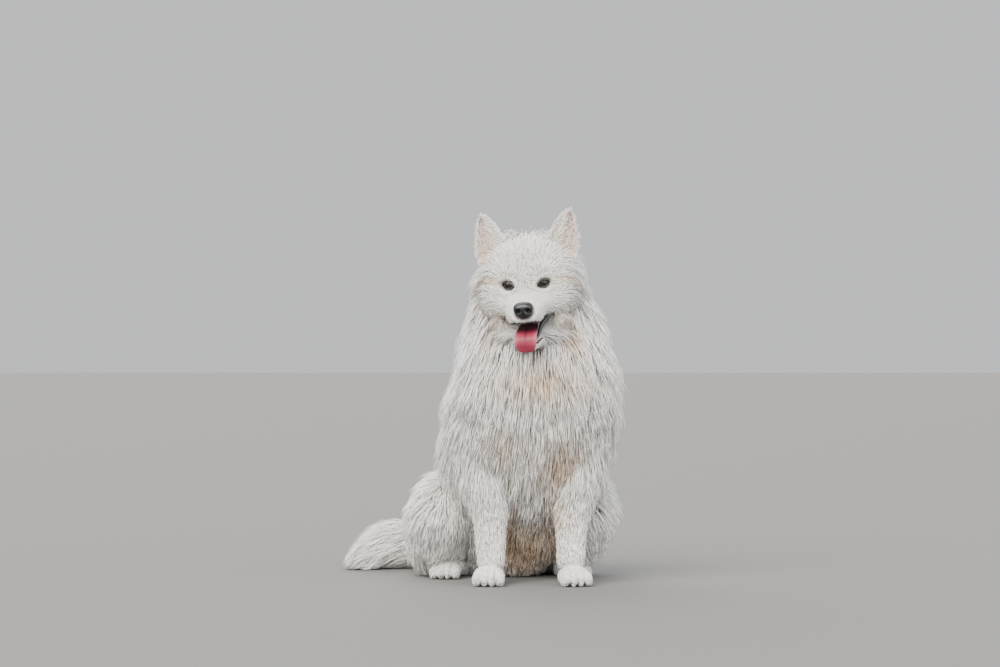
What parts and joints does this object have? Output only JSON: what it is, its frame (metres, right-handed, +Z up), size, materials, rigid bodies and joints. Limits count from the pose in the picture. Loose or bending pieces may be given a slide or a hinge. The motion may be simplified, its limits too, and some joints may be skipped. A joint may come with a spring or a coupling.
{
  "type": "samoyed dog",
  "caption": "Life-size sitting Samoyed, a long-coated white spitz dog with pricked ears, open mouth and plumed tail laid on the floor; a still display model",
  "frame": {"origin": "on the floor, below the middle of the model's bounding box", "axes": "+Z up, the dog faces -Y, +X is the dog's left"},
  "size_m": [0.608, 0.5784, 0.7698],
  "materials": {
    "white_coat": "long straight outer hair over dense underwool, white",
    "ear_coat": "short velvety hair, pinkish cream inside the cup",
    "nose_leather": "black, pebbled, wet sheen",
    "eye": "dark brown, wet gloss",
    "tongue": "moist pink, fine papillae"
  },
  "bodies": {
    "root": {"ear_left": "ear_coat", "ear_right": "ear_coat", "eye_left": "eye", "eye_right": "eye", "foreleg_left": "white_coat", "foreleg_right": "white_coat", "forepaw_left": "white_coat", "forepaw_right": "white_coat", "head": "white_coat", "hindleg_left": "white_coat", "hindleg_right": "white_coat", "hindpaw_left": "white_coat", "hindpaw_right": "white_coat", "lower_jaw": "white_coat", "neck": "white_coat", "nose": "nose_leather", "tail": "white_coat", "tongue": "tongue", "torso": "white_coat"}
  },
  "joints": []
}
